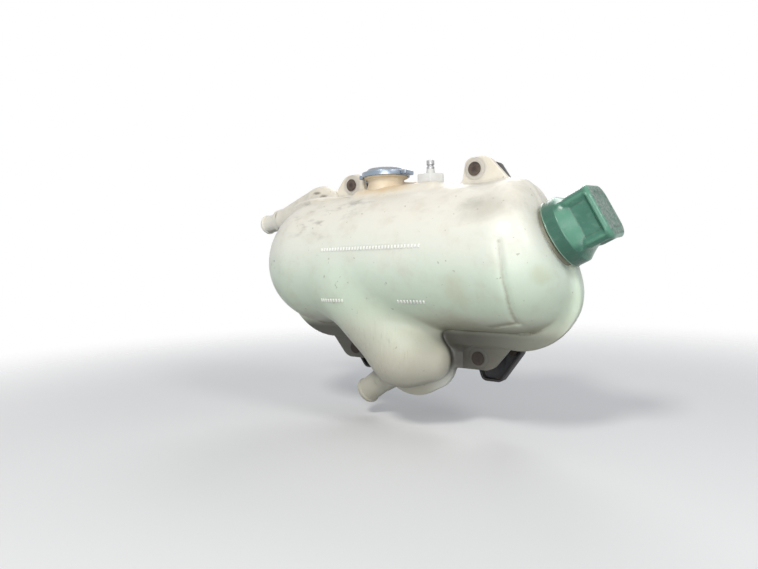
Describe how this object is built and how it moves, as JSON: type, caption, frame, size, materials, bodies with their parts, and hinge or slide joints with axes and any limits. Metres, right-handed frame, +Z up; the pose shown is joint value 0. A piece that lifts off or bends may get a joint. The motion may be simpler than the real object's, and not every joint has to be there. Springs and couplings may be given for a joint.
{
  "type": "coolant surge tank",
  "caption": "Translucent coolant surge tank with a screw filler cap, a pressed metal pressure cap, hose ends, a level sensor and a steel firewall bracket.",
  "frame": {"origin": "centre of the four firewall bolts, in the bracket's back face", "axes": "+X towards the filler cap, +Y into the firewall, +Z up"},
  "size_m": [0.5917, 0.18, 0.3643],
  "materials": {
    "tank_plastic": "translucent cream moulding, green tint below, dusty",
    "neck_plastic": "cream moulding stained tan",
    "green_plastic": "worn satin green with a dusty top",
    "seal_rubber": "matt black",
    "cap_metal": "plated steel with tan dirt",
    "white_plastic": "white moulding",
    "terminal_metal": "dull plated",
    "sleeve_steel": "dull zinc",
    "bolt_rust": "rusty",
    "bracket_paint": "dark paint, dusty"
  },
  "bodies": {
    "tank": {"tank_front_shell": "tank_plastic", "tank_rear_shell": "tank_plastic", "filler_neck": "tank_plastic", "pressure_neck": "neck_plastic", "level_sensor_hex": "white_plastic", "level_sensor_plug": "terminal_metal", "inlet_spigot": "tank_plastic", "outlet_spigot": "tank_plastic", "mounting_bracket": "bracket_paint", "ear_bushing_1": "sleeve_steel", "standoff_1": "bracket_paint", "ear_bolt_1": "bolt_rust", "firewall_bolt_1": "bolt_rust", "ear_bushing_2": "sleeve_steel", "standoff_2": "bracket_paint", "ear_bolt_2": "bolt_rust", "firewall_bolt_2": "bolt_rust", "ear_bushing_3": "sleeve_steel", "standoff_3": "bracket_paint", "ear_bolt_3": "bolt_rust", "firewall_bolt_3": "bolt_rust", "ear_bushing_4": "sleeve_steel", "standoff_4": "bracket_paint", "ear_bolt_4": "bolt_rust", "firewall_bolt_4": "bolt_rust"},
    "filler_cap": {"filler_cap": "green_plastic"},
    "filler_liner": {"filler_cap_liner": "seal_rubber"},
    "pressure_cap": {"pressure_cap": "cap_metal"},
    "pressure_seal": {"pressure_cap_seal": "seal_rubber"}
  },
  "joints": [
    {"name": "filler_cap_travel", "type": "slide", "parent": "tank", "child": "filler_liner", "axis": [0.8988, 0, 0.4384], "range_m": [0, 0.0208]},
    {"name": "filler_cap_turn", "type": "hinge", "parent": "filler_liner", "child": "filler_cap", "pos_m": [0.2225, -0.065, 0.0558], "axis": [0.8988, 0, 0.4384], "range_deg": [0, 936]},
    {"name": "pressure_cap_lift", "type": "slide", "parent": "tank", "child": "pressure_seal", "axis": [0, 0, 1], "range_m": [0, 0.03]},
    {"name": "pressure_cap_turn", "type": "hinge", "parent": "pressure_seal", "child": "pressure_cap", "pos_m": [-0.041, -0.053, 0.163], "axis": [0, 0, 1], "range_deg": [0, 110]}
  ],
  "couplings": [
    {"joint": "filler_cap_travel", "follows": "filler_cap_turn", "m_per_rad": 0.0012732}
  ]
}
